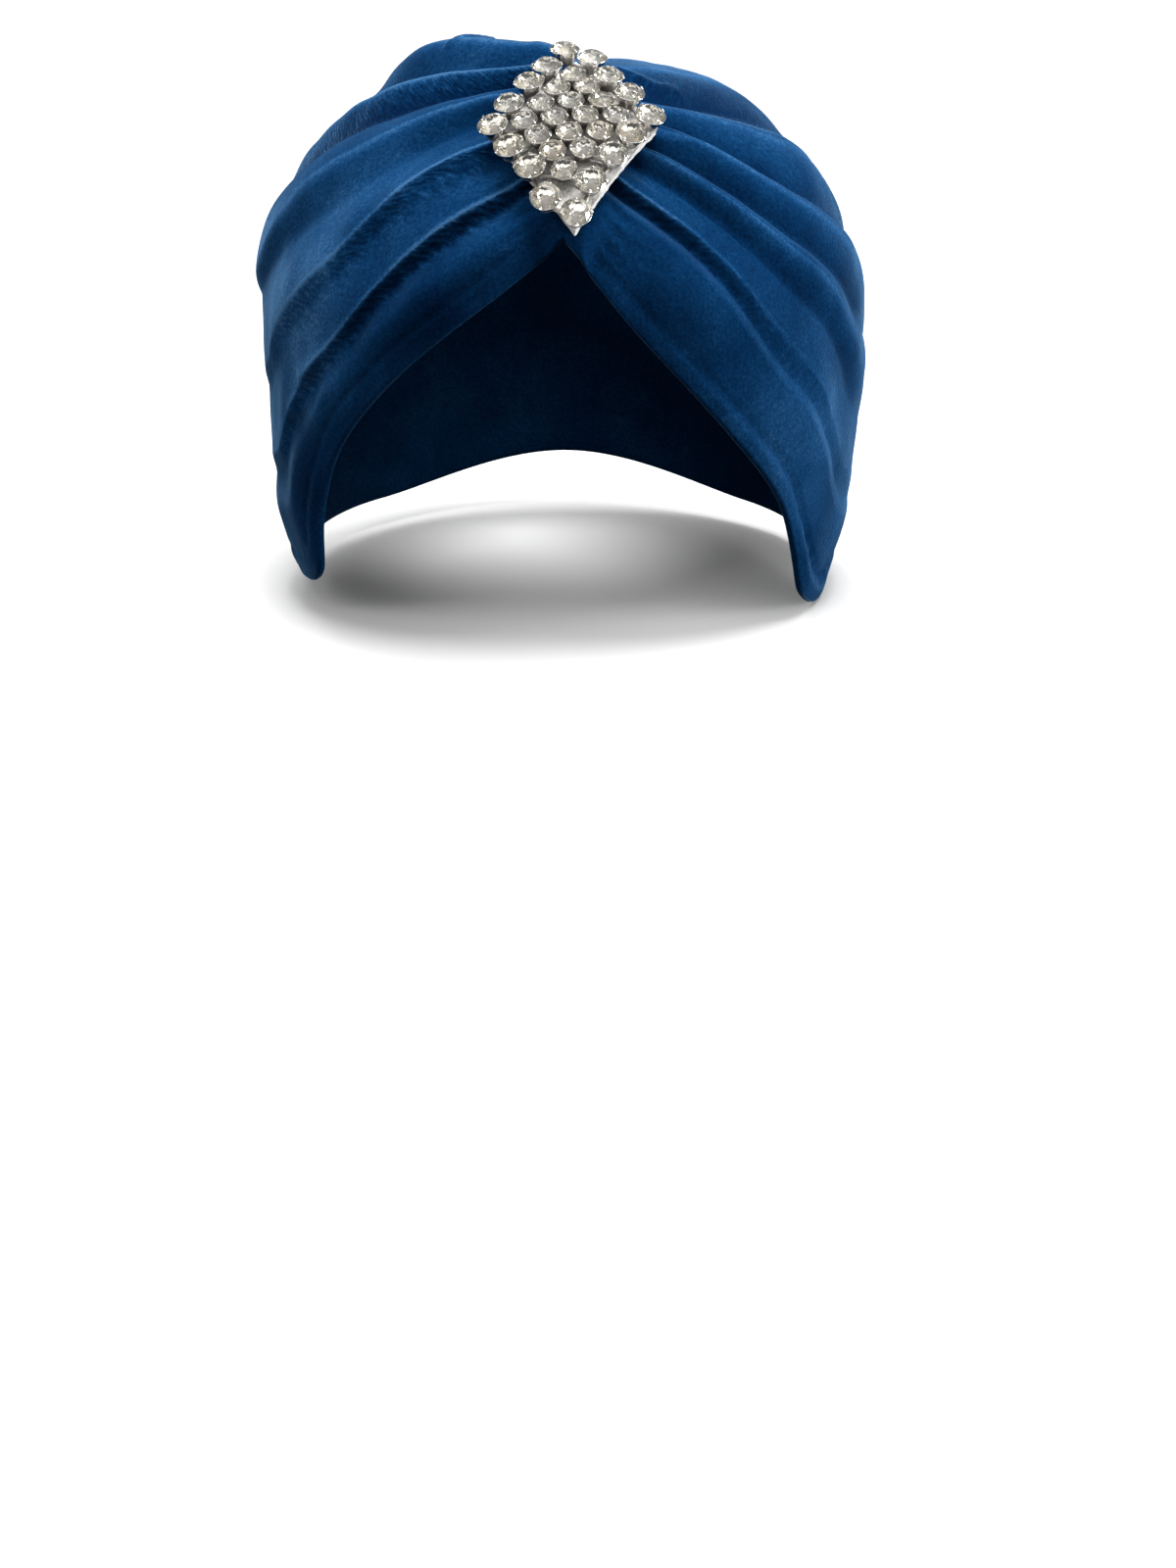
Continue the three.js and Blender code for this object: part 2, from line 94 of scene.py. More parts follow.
# Pleats from the lower hem up. They start where the imported solid's do, and some have another base, rise or
# crest. foot: share of the band's width. base and rise: mm. All three are at the front, temple and side.
# crest: share of the fold, at the front and side. crease: how soft the lower and the upper foot are, 1 for
# sharp. sharp: 0 for a round roll and 1 for a ridge. shade: how much painted shade lies below the fold,
# where that differs from VALLEY_SHADE.
LEFT_PLEATS = [
    {"foot": (0, 0, 0), "base": (0, 0, 0), "rise": (3, 1.8, 1.6),
     "crest": (0.6, 0.6), "crease": (1.6, 1.6), "sharp": 0},
    {"foot": (0.18, 0.105, 0.135), "base": (0, 0.6, 1.2), "rise": (2.4, 1.6, 0.8),
     "crest": (0.24, 0.2), "crease": (1.2, 1.5), "sharp": 1},
    {"foot": (0.35, 0.22, 0.265), "base": (0, 0.8, 0.8), "rise": (2.6, 1.3, 0.6),
     "crest": (0.28, 0.2), "crease": (1.2, 1.5), "sharp": 1},
    {"foot": (0.48, 0.365, 0.405), "base": (0, 0.3, 1), "rise": (3.5, 3.2, 1.4),
     "crest": (0.55, 0.25), "crease": (1.6, 0.9), "sharp": 0},
    {"foot": (0.61, 0.57, 0.59), "base": (0, 0, 0.2), "rise": (4, 3.8, 1.2),
     "crest": (0.66, 0.45), "crease": (1.2, 1.1), "sharp": 0.9, "shade": 0.9},
    {"foot": (0.73, 0.725, 0.8), "base": (1, -0.4, 0.2), "rise": (4.8, 7.6, 1.2),
     "crest": (0.5, 0.4), "crease": (1.3, 1.3), "sharp": 0},
]
RIGHT_PLEATS = [
    {"foot": (0, 0, 0), "base": (0, 0, 0), "rise": (3, 1, 0.6),
     "crest": (0.85, 0.8), "crease": (1.5, 1.5), "sharp": 0},
    {"foot": (0.25, 0.145, 0.12), "base": (0, 1.3, 1.5), "rise": (2.6, 0.7, 0.4),
     "crest": (0.36, 0.28), "crease": (1.3, 1.6), "sharp": 0.6},
    {"foot": (0.355, 0.265, 0.235), "base": (0, 0.7, 1.5), "rise": (3, 2.4, 1.1),
     "crest": (0.75, 0.6), "crease": (1.5, 0.9), "sharp": 0},
    {"foot": (0.42, 0.352, 0.355), "base": (0, 0, 1.2), "rise": (4, 4, 1.8),
     "crest": (0.75, 0.6), "crease": (1, 0.9), "sharp": 0},
    {"foot": (0.515, 0.465, 0.53), "base": (0, -1.6, -2.8), "rise": (3.8, 3.2, 1.3),
     "crest": (0.75, 0.65), "crease": (1, 0.9), "sharp": 0},
    {"foot": (0.6, 0.625, 0.7), "base": (-1, -1.6, -2.8), "rise": (2.4, 2.4, 1.2),
     "crest": (0.45, 0.4), "crease": (1, 1), "sharp": 0.4},
]
# Turns in degrees over which the columns above change, and over which the folds die out behind
FRONT_TO_TEMPLE = (8, 42)
TEMPLE_TO_SIDE = (42, 82)
CREST_TO_SIDE = (30, 80)
SIDES_MEET = (-8, 8)
BACK_MEETS = (150, 180)
FOLDS_FADE = (90, 150)
FOLDS_LEFT_BEHIND = 0.15

# Brooch: place of the backing's underside, the way it faces, and the bends that lay it on the cloth.
# Diamond: half of the angle at its tip, and how much its right-hand side climbs. The backing goes round the
# stones.
BROOCH = {"place": (1.6, -72.5, 42.7), "facing": math.radians(55), "bend_long": 94, "bend_wide": 88}
DIAMOND = {"half_angle": math.radians(32), "skew": 0.14}
STONE_STEP = 8.25
STEPS_A_SIDE = 4
BACKING_BORDER = 1.1
BACKING_SIDE = STONE_STEP * STEPS_A_SIDE + 2 * BACKING_BORDER / math.sin(2 * DIAMOND["half_angle"])
BACKING_RIGHT = 1.2
SEAT_GAP = 0.3
# The brooch presses the cloth flat, which ends over these shares of the brooch's size
PRESS_EDGE = (1.15, 1.5)

# What the cloth shows beyond the solid

# Mesh: columns round the band, how much closer they lie in front, and rows to each fold and hem
COLUMNS = 450
FRONT_CLOSER = 0.4
FIRST_FOLD_ROWS = 44
FOLD_ROWS = 26
INNER_FOLD_ROWS = 6
HEM_POINTS = 5
# Rows lie closer together towards the crests, by this power
ROWS_CLOSER = 1.6

# Folds sag by this share of their height, in mm, and a degree of the band is about this many mm
FOLD_DROOP = 0.4
MM_PER_DEGREE = 1.45
# Ridges are sharpest at the front and softer at the sides, over these degrees turned. A ridge is round
# towards its lower and its upper foot over these shares of the way there.
RIDGE_SHARP = (1.0, 0.5)
RIDGE_SOFTENS = (50, 90)
RIDGE_ROUND = (0.14, 0.07)
# The hem is drawn up to the tip of the brooch, which ends over these shares of the brooch's size and these
# degrees above the hem
TIP_EDGE = (1.1, 1.5)
TIP_HIGH = (4, 14)
# Valleys between folds lie deeper than in the solid by this share of the folds' height
VALLEY_DEEPER = 0.1
# The pile is brushed and given painted shade on the lower side of ridges, up to these shares of the climb,
# and past the valley below them. A stroke's length and width are in metres, and it climbs away from the
# front by this angle.
BRUSHED_AND_SHADED = {"to": (0.75, 1.0), "past": (0.05, 0.5)}
STROKE = {"long": 0.0042, "wide": 0.0009, "climbs": math.radians(45)}
# A painted highlight runs along a crest, over these shares of the climb on its lower and upper side,
# stronger on sharp ones. Painted shade lies in the valley below a fold, over these shares of the climb.
CREST_WIDE = (0.17, 0.07)
CREST_HIGHLIGHT = {"round": 0.8, "sharp": 1.4}
VALLEY_SHADE = {"right": 0.55, "left": 0.1, "climb": (0.0, 0.7)}
# Patches of painted light, above 0, and painted shade, below 0: middle and reach in degrees turned and
# lifted
PAINTED_SHADING_PATCHES = [
    {"at": (-22, -18), "reach": (17, 8), "tone": -0.55},
    {"at": (-60, -40), "reach": (11, 9), "tone": -0.6},
    {"at": (-48, -13), "reach": (15, 12), "tone": 1.1},
    {"at": (-32, 5), "reach": (13, 6), "tone": 0.5},
    {"at": (-28, 34), "reach": (15, 6), "tone": 0.45},
    {"at": (46, -34), "reach": (17, 9), "tone": 0.6},
    {"at": (14, -12), "reach": (13, 9), "tone": -0.45},
    {"at": (36, 32), "reach": (20, 11), "tone": -0.65},
]
# Rolled hem: width and height of the roll, the power that rounds it, and depth and width of the sewn groove
# behind it, in mm. Other relief is gone at the edge and comes back past the roll, over these mm. The hem is
# strongest from these degrees to the right, and this share of that elsewhere.
HEM = {"wide": 4.2, "rise": 0.6, "round": 0.8, "groove": 0.6, "groove_wide": 0.9}
HEM_CALM = {"edge": (0, 1.5), "past": (2, 8)}
HEM_SHOWS = {"left": 0.3, "front": 0.3, "behind": 0.6, "from": (18, 48)}
# Puckers of the groove: number round the band, depth in mm, and how far they wander, by noise of a size in
# mm
PUCKER = {"count": 70, "deep": 0.45, "wander": 0.4, "noise": 25, "seed": 8}
# Waves of the cloth in mm: size, height. Each is a sum of waves that differ in size by these shares.
WAVES = [(34, 0.55), (11, 0.16)]
WAVE_SIZES = (0.7, 1.5)
# Small gathers beside the brooch: number across the band, height in mm, where they start and die out, as
# shares of the brooch's size, and how far they wander
GATHERS = {
    "count": 17, "rise": 0.22, "start": (1.0, 1.16), "end": (1.25, 1.9),
    "wander": 0.05, "noise": 60, "seed": 7,
}
# Small soft folds: points as degrees turned and lifted, height and half width in mm
SOFT_FOLDS = [
    {"path": [(-10, 8.2), (-15, 5.7), (-19.5, 3.1), (-24, 0.2)], "high": 1.3, "wide": 2.4},
    {"path": [(-38, -20.4), (-44, -21.6), (-52, -22.9)], "high": 0.7, "wide": 2.2},
    {"path": [(-51, -26.4), (-59, -27.9)], "high": 0.5, "wide": 2.4},
    {"path": [(-44, -25), (-49, -29.7)], "high": 0.4, "wide": 2.2},
    {"path": [(13.2, 32.5), (20.5, 28.4), (26, 28)], "high": 0.8, "wide": 1.6},
    {"path": [(-34, 42.6), (-30, 47.1), (-23, 48.4)], "high": 0.9, "wide": 2.0},
]


def smooth(x, span):
    t = np.clip((x - span[0]) / (span[1] - span[0]), 0, 1)
    return t * t * (3 - 2 * t)


def mix(a, b, share):
    return a + (b - a) * share


def edge_lift(turn, name):
    """Lift of the band's lower or top edge at the turns, a cubic curve through the table."""
    first = {"low": 1, "top": 3}[name]
    knots = EDGES[:, 0]
    lifts = []
    for column in (first, first + 1):
        values = EDGES[:, column]
        slopes = np.zeros(len(knots))
        for i in range(len(knots) - 1):
            before = max(i - 1, 0)
            slopes[i] = (values[i + 1] - values[before]) / (knots[i + 1] - knots[before])
        at = np.abs(turn)
        i = np.clip(np.searchsorted(knots, at, side="right") - 1, 0, len(knots) - 2)
        span = knots[i + 1] - knots[i]
        t = (at - knots[i]) / span
        u = 1 - t
        ends = (1 + 2 * t) * u * u * values[i] + t * t * (3 - 2 * t) * values[i + 1]
        lifts.append(ends + t * u * u * span * slopes[i] - t * t * u * span * slopes[i + 1])
    return np.where(turn < 0, lifts[0], lifts[1])


def pleats_at(turn):
    """The pleats as they are at the turns, from the lower hem up, and the top edge."""
    at = np.abs(turn)
    to_temple, to_side = smooth(at, FRONT_TO_TEMPLE), smooth(at, TEMPLE_TO_SIDE)
    to_side_crest = smooth(at, CREST_TO_SIDE)
    fade = 1 - (1 - FOLDS_LEFT_BEHIND) * smooth(at, FOLDS_FADE)
    softening = mix(*RIDGE_SHARP, smooth(at, RIDGE_SOFTENS))
    behind = smooth(at, BACK_MEETS) / 2
    right = smooth(turn, SIDES_MEET) + np.where(turn < 0, behind, -behind)

    def along(values):
        front, temple, side = values
        return front + (temple - front) * to_temple + (side - temple) * to_side

    pleats = []
    for one, other in zip(LEFT_PLEATS, RIGHT_PLEATS):
        rise = mix(along(one["rise"]), along(other["rise"]), right)
        sharp = mix(one["sharp"], other["sharp"], right)
        shows = np.clip(rise / mix(one["rise"][0], other["rise"][0], right), 0, 1) * fade
        pleats.append({
            "foot": mix(along(one["foot"]), along(other["foot"]), right),
            "base": mix(along(one["base"]), along(other["base"]), right) * fade,
            "rise": rise * fade,
            "crest": mix(mix(*one["crest"], to_side_crest), mix(*other["crest"], to_side_crest), right),
            "crease": [mix(low, up, right) for low, up in zip(one["crease"], other["crease"])],
            "sharp": sharp * softening,
            "brushed_and_shaded": sharp * shows,
            "crest_highlight": mix(CREST_HIGHLIGHT["round"], CREST_HIGHLIGHT["sharp"], sharp) * shows,
            "shade": mix(one.get("shade", VALLEY_SHADE["left"]), VALLEY_SHADE["right"], right) * fade,
        })
    pleats.append({"foot": np.ones_like(turn), "base": pleats[-1]["base"], "brushed_and_shaded": np.zeros_like(turn)})
    return pleats


def form_point(turn, lift):
    """Points of the round form and the ways out from it."""
    tilt, turn, lift = math.radians(BAND_TILT), np.radians(turn), np.radians(lift)
    forward, up = np.cos(lift) * np.cos(turn), np.sin(lift)
    way = np.stack([
        np.cos(lift) * np.sin(turn),
        up * math.sin(tilt) - forward * math.cos(tilt),
        forward * math.sin(tilt) + up * math.cos(tilt),
    ], -1)
    half = np.empty_like(way)
    half[..., 0], half[..., 1] = FORM["across"], FORM["deep"]
    half[..., 2] = np.where(way[..., 2] > 0, FORM["above"], FORM["below"])
    point = way / np.linalg.norm(way / half, axis=-1, keepdims=True)
    out = point / half ** 2
    return point, out / np.linalg.norm(out, axis=-1, keepdims=True)


def brooch_centre():
    facing, bend = BROOCH["facing"], BROOCH["bend_long"]
    return np.array(BROOCH["place"]) + bend * np.array([0, math.cos(facing), -math.sin(facing)])


def brooch_share(point):
    """Where points lie on the brooch: 0 at its middle and 1 at the edge of its backing."""
    from_centre = point - brooch_centre()
    across = from_centre[..., 0] - BACKING_RIGHT
    climb = np.arctan2(from_centre[..., 2], -from_centre[..., 1]) - BROOCH["facing"]
    along = climb * BROOCH["bend_long"] - across * DIAMOND["skew"]
    wide = BACKING_SIDE * math.sin(DIAMOND["half_angle"])
    long = BACKING_SIDE * math.cos(DIAMOND["half_angle"])
    return np.abs(across) / wide + np.abs(along) / long


def pressed_height(height, point, above_hem):
    """Heights of the cloth where the brooch presses it flat, or draws it up at its tip."""
    from_centre = point - brooch_centre()
    across = np.clip(from_centre[..., 0], -BROOCH["bend_wide"], BROOCH["bend_wide"])
    bend = BROOCH["bend_wide"] - np.sqrt(BROOCH["bend_wide"] ** 2 - across ** 2)
    room = BROOCH["bend_long"] - bend - np.hypot(from_centre[..., 1], from_centre[..., 2]) - SEAT_GAP
    near = brooch_share(point)
    drawn = (1 - smooth(near, TIP_EDGE)) * (1 - smooth(above_hem, TIP_HIGH))
    held = mix(np.minimum(height, room), room, drawn)
    return mix(held, height, smooth(near, PRESS_EDGE))


def ripple(points, size, seed, waves=14):
    """Smooth noise of about -1 to 1, from waves of about one size in every direction."""
    draw = np.random.default_rng(seed)
    total = np.zeros(points.shape[:-1])
    for _ in range(waves):
        way = draw.normal(size=points.shape[-1])
        way *= 2 * np.pi / (size * draw.uniform(*WAVE_SIZES) * np.linalg.norm(way))
        total += np.sin(points @ way + draw.uniform(0, 2 * np.pi))
    return total / math.sqrt(2 * waves)


def distance_to_path(x, y, path):
    """Distance in mm from band positions to a path of degrees turned and lifted."""
    corners = np.array(path, float) * MM_PER_DEGREE
    nearest = np.full(x.shape, np.inf)
    for (x0, y0), (x1, y1) in zip(corners[:-1], corners[1:]):
        run = np.array([x1 - x0, y1 - y0])
        t = np.clip(((x - x0) * run[0] + (y - y0) * run[1]) / (run @ run), 0, 1)
        nearest = np.minimum(nearest, np.hypot(x - x0 - t * run[0], y - y0 - t * run[1]))
    return nearest


def ridge(climb, rounding):
    """Straight climb to a ridge of 1, rounded at the top."""
    foot = math.hypot(1, rounding)
    return (foot - math.hypot(1 - climb, rounding)) / (foot - rounding)


def band_rows(turn, fold_rows):
    """Rows up the band: share of its width, height, sag, how far the pile is brushed and painted darker, and
    the painted highlight and shade.
    """
    pleats = pleats_at(turn)
    last = len(LEFT_PLEATS) - 1
    shares, heights, sags, brushed_and_shaded, painted_shading = [], [], [], [], []
    for index, (pleat, following) in enumerate(zip(pleats[:-1], pleats[1:])):
        rows = fold_rows[index]
        for row in range(rows):
            step = 2 * row / rows
            climb = 1 - (1 - min(step, 2 - step)) ** ROWS_CLOSER
            share = pleat["crest"] * climb if step <= 1 else 1 - (1 - pleat["crest"]) * climb
            side = 0 if step <= 1 else 1
            top = mix(math.sin(climb * math.pi / 2), ridge(climb, RIDGE_ROUND[side]), pleat["sharp"])
            top = top ** pleat["crease"][side]
            at_edge = (index == 0 and side == 0) or (index == last and side == 1)
            deeper = 0 if at_edge else VALLEY_DEEPER * (1 - top)
            rise = pleat["rise"] * (top - deeper)
            shares.append(mix(pleat["foot"], following["foot"], share))
            heights.append(mix(pleat["base"], following["base"], share) + rise)
            sags.append(FOLD_DROOP * pleat["rise"] * math.sin(climb * math.pi / 2) ** 2)
            below_crest = pleat["brushed_and_shaded"] * (1 - smooth(climb, BRUSHED_AND_SHADED["to"]))
            past_valley = following["brushed_and_shaded"] * (1 - smooth(climb, BRUSHED_AND_SHADED["past"]))
            brushed_and_shaded.append(past_valley if side else below_crest)
            # Painted highlight along the crest, and painted shade in the valley below the fold
            painted_highlight = pleat["crest_highlight"] * math.exp(-((1 - climb) / CREST_WIDE[side]) ** 2) * (index > 0)
            painted_shade = pleat["shade"] * (1 - smooth(climb, VALLEY_SHADE["climb"])) * (index > 1 and side == 0)
            painted_shading.append(painted_highlight - painted_shade)
    shares.append(pleats[-1]["foot"])
    heights.append(pleats[-1]["base"])
    sags.append(np.zeros_like(turn))
    brushed_and_shaded.append(np.zeros_like(turn))
    painted_shading.append(np.zeros_like(turn))
    return [np.array(rows) for rows in (shares, heights, sags, brushed_and_shaded, painted_shading)]


def small_relief(turn, lift, low, top, share, point):
    """Height in mm of what the cloth shows beyond its pleats: waves, hems, gathers and small folds."""
    relief = np.zeros(lift.shape)
    for seed, (size, high) in enumerate(WAVES):
        relief += high * ripple(point, size, seed)
    x, y = turn * MM_PER_DEGREE, lift * MM_PER_DEGREE
    for fold in SOFT_FOLDS:
        relief += fold["high"] * np.exp(-(distance_to_path(x, y, fold["path"]) / fold["wide"]) ** 2)
    near = brooch_share(point)
    gather = smooth(near, GATHERS["start"]) * (1 - smooth(near, GATHERS["end"]))
    wander = GATHERS["wander"] * ripple(point, GATHERS["noise"], GATHERS["seed"])
    relief += GATHERS["rise"] * gather * np.sin(2 * np.pi * GATHERS["count"] * (share + wander))
    wander = PUCKER["wander"] * ripple(point, PUCKER["noise"], PUCKER["seed"])
    pucker = 0.5 + 0.5 * np.sin(2 * np.pi * (turn / 360 * PUCKER["count"] + wander))
    to_right = mix(HEM_SHOWS["front"], 1, smooth(turn, HEM_SHOWS["from"]))
    sewn = mix(HEM_SHOWS["left"], to_right, smooth(turn, SIDES_MEET))
    sewn = mix(sewn, HEM_SHOWS["behind"], smooth(np.abs(turn), BACK_MEETS))
    for depth in ((lift - low) * MM_PER_DEGREE, (top - lift) * MM_PER_DEGREE):
        roll = np.sin(np.pi * np.clip(depth / HEM["wide"], 0, 1)) ** HEM["round"]
        groove = np.exp(-((depth - HEM["wide"]) / HEM["groove_wide"]) ** 2)
        ends = smooth(depth, HEM_CALM["edge"])
        relief = mix(relief * ends, relief, smooth(depth, HEM_CALM["past"]))
        relief += sewn * (HEM["rise"] * roll - (HEM["groove"] + PUCKER["deep"] * pucker) * groove)
    return relief


def hem_arc(outer, inner, before):
    """Half round from the outer edge of the cloth to its inner one, past the edge."""
    middle = (outer + inner) / 2
    arm = outer - middle
    reach = np.linalg.norm(arm, axis=-1, keepdims=True)
    past = outer - before
    past = past - arm * (past * arm).sum(-1, keepdims=True) / reach ** 2
    past = past / np.linalg.norm(past, axis=-1, keepdims=True)
    turns = np.linspace(0, np.pi, HEM_POINTS + 2)[1:-1]
    return np.array([middle + arm * math.cos(t) + past * reach * math.sin(t) for t in turns])


def velvet_points():
    """Ring of points for each column of the band: up the outside, over the top hem, and down the inside."""
    share = 2 * np.arange(COLUMNS) / COLUMNS - 1
    turn = 180 * (share - FRONT_CLOSER * np.sin(np.pi * share) / np.pi)
    low, top = edge_lift(turn, "low"), edge_lift(turn, "top")

    folds = len(LEFT_PLEATS)
    shares, heights, sags, brushed_and_shaded, painted_shading = band_rows(turn, [FIRST_FOLD_ROWS] + [FOLD_ROWS] * (folds - 1))
    lift = mix(low, top, shares) - sags / MM_PER_DEGREE
    # Painted light and shade in patches
    for patch in PAINTED_SHADING_PATCHES:
        (at_turn, at_lift), (wide, high) = patch["at"], patch["reach"]
        apart = ((turn - at_turn) / wide) ** 2 + ((lift - at_lift) / high) ** 2
        painted_shading += patch["tone"] * np.exp(-apart)
    point, out = form_point(np.broadcast_to(turn, lift.shape), lift)
    heights = heights + small_relief(turn, lift, low, top, shares, point)
    outside = point + out * pressed_height(heights, point, lift - low)[..., None]

    shares, heights = band_rows(turn, [INNER_FOLD_ROWS] * folds)[:2]
    lift = mix(low, top, shares)
    point, out = form_point(np.broadcast_to(turn, lift.shape), lift)
    inside = point + out * (pressed_height(heights, point, lift - low) * FOLD_INSIDE - CLOTH)[..., None]

    top_hem = hem_arc(outside[-1], inside[-1], outside[-3])
    low_hem = hem_arc(outside[0], inside[0], outside[2])[::-1]
    rings = np.concatenate([outside, top_hem, inside[::-1], low_hem])
    brushing_and_painted_shading = {}
    for name, rows in (("brushed_and_shaded", brushed_and_shaded), ("painted_shading", painted_shading)):
        brushing_and_painted_shading[name] = np.zeros(rings.shape[:2])
        brushing_and_painted_shading[name][:len(rows)] = rows
    return turn, rings, brushing_and_painted_shading


def ring_mesh(name, turn, rings, brushing_and_painted_shading):
    """Closed mesh of the rings. Its UV map holds the ways round and across the band, and point attributes
    hold where the pile is brushed and the painted light and shade."""
    rows, columns = rings.shape[:2]
    row, column = np.meshgrid(np.arange(rows), np.arange(columns), indexing="ij")
    above, beside = (row + 1) % rows, (column + 1) % columns
    corners = np.stack([
        row * columns + column, row * columns + beside, above * columns + beside, above * columns + column,
    ], -1).reshape(-1, 4)
    mesh = bpy.data.meshes.new(name)
    mesh.from_pydata((rings.reshape(-1, 3) * MM).tolist(), [], corners.tolist())
    steps = np.linalg.norm(np.diff(rings, axis=0), axis=-1).mean(1)
    across = np.concatenate([[0], np.cumsum(steps), [steps.sum() + CLOTH]])
    around = np.append(turn, turn[0] + 360) * MM_PER_DEGREE
    steps_on = ((0, 0), (1, 0), (1, 1), (0, 1))
    uv = np.stack([np.stack([around[column + i], across[row + j]], -1) for i, j in steps_on], 2) * MM
    mesh.uv_layers.new(name="cloth").data.foreach_set("uv", uv.ravel())
    for key, values in brushing_and_painted_shading.items():
        mesh.attributes.new(key, "FLOAT", "POINT").data.foreach_set("value", values.ravel())
    mesh.shade_smooth()
    mesh.update()
    piece = bpy.data.objects.new(name, mesh)
    bpy.context.collection.objects.link(piece)
    return piece


# The brooch's stones and setting, in mm

# Cut of a stone, as shares of its radius and of its crown's or back's height, and the girdle's own height.
# Facets below this share of half the girdle are silvered.
STONE_SIDES = 8
STONE_CUT = {"table": 0.56, "star": (0.8, 0.62), "back": (0.3, 0.76), "girdle": 0.12, "silvered": -0.9}
# Stones fill their places a little more than their solids do. Each leans by up to so many degrees.
STONE_WIDER = {"outer": 1.09, "inner": 1.2}
STONE_LEAN = 6
STONE_SEED = 5
# Cup about its stone, for each ring from its foot over the rolled rim to its seat: share of the radius or of
# the back's height, and mm added
CUP_SIDES = 28
CUP_RINGS = [
    {"radius": (0.45, 0), "height": (1, -0.8)},
    {"radius": (0.55, 0), "height": (1, -0.6)},
    {"radius": (1, -0.1), "height": (0, -0.4)},
    {"radius": (1, 0.06), "height": (0, -0.1)},
    {"radius": (1, 0.1), "height": (0, 0)},
    {"radius": (1, 0.08), "height": (0, 0.07)},
    {"radius": (1, 0.04), "height": (0, 0.09)},
    {"radius": (1, 0.02), "height": (0, 0.02)},
    {"radius": (0.3, 0), "height": (0.76, -0.12)},
]
# Claw from the cup's side over the girdle, at each point: mm out from the girdle, up from it, and half its
# width
CLAWS = 4
CLAW_SIDES = 8
CLAW_THICK = 0.26
CLAW_PATH = [
    (-0.2, -0.9, 0.36), (0.02, -0.4, 0.38), (0.15, 0.0, 0.38), (0.14, 0.24, 0.34),
    (-0.04, 0.44, 0.3), (-0.28, 0.59, 0.24), (-0.38, 0.64, 0.12),
]
# Bars link the feet of cups that are no further apart than this share of their two radii, at so many mm
# below the stones
LINK = {"reach": 1.42, "wide": 1.1, "thick": 0.5, "sides": 6, "below": 0.4}
# Edges of the setting that bend by more than this stay sharp
SETTING_SHARP = math.radians(50)
# The felt pad in metres: how its edges are rounded, and the size and depth of its lumps
FELT_FORM = {"round": 0.0005, "segments": 3, "levels": 3, "lump": 0.0016, "detail": 2, "deep": 0.0007}


def seated_stones():
    """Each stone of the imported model: node, middle of the girdle, way it faces, radius, crown and back."""
    facing = np.array([0, -math.cos(BROOCH["facing"]), math.sin(BROOCH["facing"])])
    found = []
    for name, node in frame["nodes"].items():
        if not name.startswith("stone_"):
            continue
        corners = np.array([corner.co for corner in node.data.vertices]) / MM
        point = corners[np.argmin(corners @ facing)]
        out = corners.mean(0) - point
        out /= np.linalg.norm(out)
        height = (corners - point) @ out
        apart = np.linalg.norm(corners - point - height[:, None] * out, axis=1)
        back = height[apart.argmax()]
        kind = name.split("_")[1]
        found.append({
            "node": name, "middle": point + back * out, "out": out, "back": back,
            "radius": apart.max() * STONE_WIDER[kind], "crown": height.max() - back,
        })
    return found


def standing(stone, spin):
    """Matrix that stands a shape made in mm on a stone's girdle, along its axis."""
    turned = Vector(stone["out"]).to_track_quat("Z", "Y").to_matrix() @ Matrix.Rotation(spin, 3, "Z")
    return Matrix.Translation(Vector(stone["middle"]) * MM) @ turned.to_4x4() @ Matrix.Scale(MM, 4)


def circle(radius, height, sides, offset=0.0):
    turns = 2 * np.pi * (np.arange(sides) + offset) / sides
    return np.stack([radius * np.cos(turns), radius * np.sin(turns), np.full(sides, height)], -1)


def new_piece(name, shape):
    """Object made of a bmesh, which it frees."""
    mesh = bpy.data.meshes.new(name)
    shape.to_mesh(mesh)
    shape.free()
    piece = bpy.data.objects.new(name, mesh)
    bpy.context.collection.objects.link(piece)
    return piece


def cut_stone(name, stone, lean, spin):
    """Round cut stone: table, two rows of crown facets, thin girdle, and pointed back marked as silvered."""
    radius, crown, back, half = stone["radius"], stone["crown"], stone["back"], STONE_CUT["girdle"] / 2
    star, below = STONE_CUT["star"], STONE_CUT["back"]
    corners = np.concatenate([
        circle(radius * STONE_CUT["table"], crown, STONE_SIDES),
        circle(radius * star[0], crown * star[1], STONE_SIDES, 0.5),
        circle(radius, half, 2 * STONE_SIDES),
        circle(radius, -half, 2 * STONE_SIDES),
        circle(radius * below[0], -back * below[1], STONE_SIDES),
        [(0, 0, -back)],
    ])
    shape = bmesh.new()
    for corner in corners:
        shape.verts.new(corner)
    bmesh.ops.convex_hull(shape, input=shape.verts)
    silvered = shape.faces.layers.float.new("silvered")
    for face in shape.faces:
        face[silvered] = float(face.calc_center_median().z < half * STONE_CUT["silvered"])
    shape.transform(standing(stone, spin) @ Matrix.Rotation(lean, 4, "X"))
    return new_piece(name, shape)


def loft(shape, rings):
    """Adds a closed solid through rings of points."""
    loops = [[shape.verts.new(corner) for corner in ring] for ring in rings]
    for low, high in zip(loops[:-1], loops[1:]):
        for i in range(len(low)):
            shape.faces.new((low[i - 1], low[i], high[i], high[i - 1]))
    shape.faces.new(loops[0][::-1])
    shape.faces.new(loops[-1])


def cup_rings(radius, back):
    rings = []
    for row in CUP_RINGS:
        (share, more), (depth, higher) = row["radius"], row["height"]
        rings.append(circle(radius * share + more, -back * depth + higher, CUP_SIDES))
    return rings


